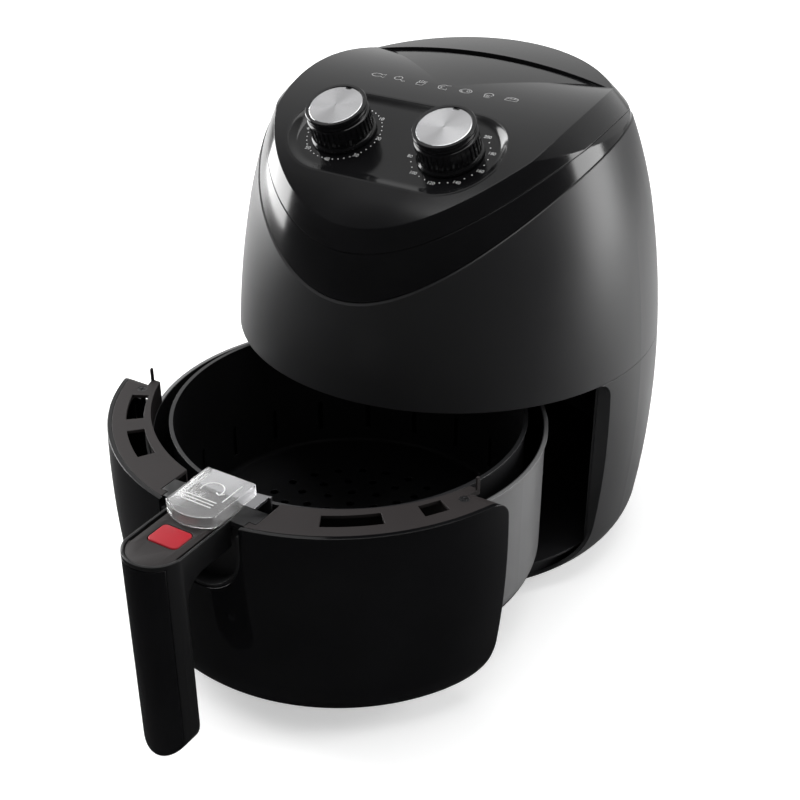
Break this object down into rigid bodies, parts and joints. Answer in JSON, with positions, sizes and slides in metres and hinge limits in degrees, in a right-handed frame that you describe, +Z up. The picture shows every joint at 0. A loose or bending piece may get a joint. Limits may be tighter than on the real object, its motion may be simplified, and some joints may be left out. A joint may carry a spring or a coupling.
{
  "type": "air fryer",
  "caption": "Egg-shaped drawer-type air fryer with two dial knobs on its top, a pull-out pan and lift-out basket with a handle, shown with the drawer out.",
  "frame": {"origin": "on the casing's upright axis, on the surface the feet stand on", "axes": "+Z up; the drawer and its handle come out towards -Y; +X is to the right of someone facing the front; the casing is symmetric about X = 0"},
  "size_m": [0.2728, 0.4459, 0.3076],
  "materials": {
    "satin_shell": "satin charcoal",
    "gloss_black": "glossy black",
    "base_black": "fine matt",
    "foot_rubber": "matt",
    "steel": "bright steel",
    "plated_sheet": "galvanised sheet",
    "inner_black": "matt black",
    "grey_handle": "satin dark grey",
    "warm_grey": "matt dark warm grey",
    "pan_coat": "non-stick coating, dark metallic grey",
    "heater_steel": "heat-tinted",
    "copper": "bare copper",
    "spun_aluminium": "spun",
    "button_red": "satin red",
    "clear_guard": "clear polycarbonate",
    "motor_steel": "laminated steel",
    "phenolic": "cream phenolic",
    "blade_alu": "pressed"
  },
  "bodies": {
    "housing": {"upper_shell": "satin_shell", "lower_shell": "satin_shell", "base_plate": "base_black", "feet": "foot_rubber", "base_screws": "steel", "cap_band": "gloss_black", "top_cover": "gloss_black", "inlet_grille": "inner_black", "outlet_grille": "inner_black", "outlet_duct": "plated_sheet", "bay_liner": "inner_black", "drawer_rails": "inner_black", "ceiling_plate": "plated_sheet", "chamber": "plated_sheet", "heat_shield": "plated_sheet", "heating_element": "heater_steel", "element_clips": "steel", "heater_guard": "steel", "motor": "motor_steel", "motor_bracket": "plated_sheet", "timer_unit": "phenolic", "thermostat_unit": "phenolic", "sensor_bulb": "copper", "micro_switch": "inner_black", "cord_gland": "foot_rubber", "terminal_block": "phenolic"},
    "fan": {"motor_shaft": "steel", "hot_air_fan": "blade_alu", "cooling_fan": "inner_black"},
    "timer": {"timer_shaft": "steel", "timer_knob": "inner_black", "timer_disc": "spun_aluminium"},
    "thermostat": {"thermostat_shaft": "steel", "temperature_knob": "inner_black", "temperature_disc": "spun_aluminium"},
    "drawer": {"pan": "pan_coat", "front_panel": "gloss_black", "panel_liner": "inner_black", "rim_plate": "warm_grey", "latch_pocket": "inner_black", "rim_screws": "steel"},
    "basket": {"basket_wall": "pan_coat", "basket_base": "pan_coat", "basket_bracket": "plated_sheet", "bracket_rivets": "steel", "handle_body": "grey_handle", "handle_front": "gloss_black", "handle_cap": "warm_grey", "handle_screws": "steel", "button_spring": "steel"},
    "button": {"release_button": "button_red"},
    "latch": {"latch_bar": "steel"},
    "guard": {"button_guard": "clear_guard"}
  },
  "joints": [
    {"name": "drawer_slide", "type": "slide", "parent": "housing", "child": "drawer", "axis": [0, 1, 0], "range_m": [-0.03, 0.126]},
    {"name": "basket_lift", "type": "slide", "parent": "drawer", "child": "basket", "axis": [0, 0, -1], "range_m": [-0.014, 0]},
    {"name": "button_press", "type": "slide", "parent": "basket", "child": "button", "axis": [0, 0, -1], "range_m": [0, 0.003], "stiffness_N_per_m": 250, "springref_m": -0.002, "deforming": ["button_spring"]},
    {"name": "latch_slide", "type": "slide", "parent": "basket", "child": "latch", "axis": [0, -1, 0], "range_m": [0, 0.003]},
    {"name": "guard_slide", "type": "slide", "parent": "basket", "child": "guard", "axis": [0, -1, 0], "range_m": [0, 0.027]},
    {"name": "timer_turn", "type": "hinge", "parent": "housing", "child": "timer", "pos_m": [-0.0356, -0.0642, 0.2812], "axis": [0, 0.4003, -0.9164], "range_deg": [0, 264]},
    {"name": "temperature_turn", "type": "hinge", "parent": "housing", "child": "thermostat", "pos_m": [0.0356, -0.0642, 0.2812], "axis": [0, 0.4003, -0.9164], "range_deg": [-108, 36]},
    {"name": "fan_spin", "type": "hinge", "parent": "housing", "child": "fan", "pos_m": [0, 0.008, 0.2], "axis": [0, 0, 1], "continuous": true}
  ],
  "couplings": [
    {"joint": "latch_slide", "follows": "button_press", "ratio": 1}
  ]
}
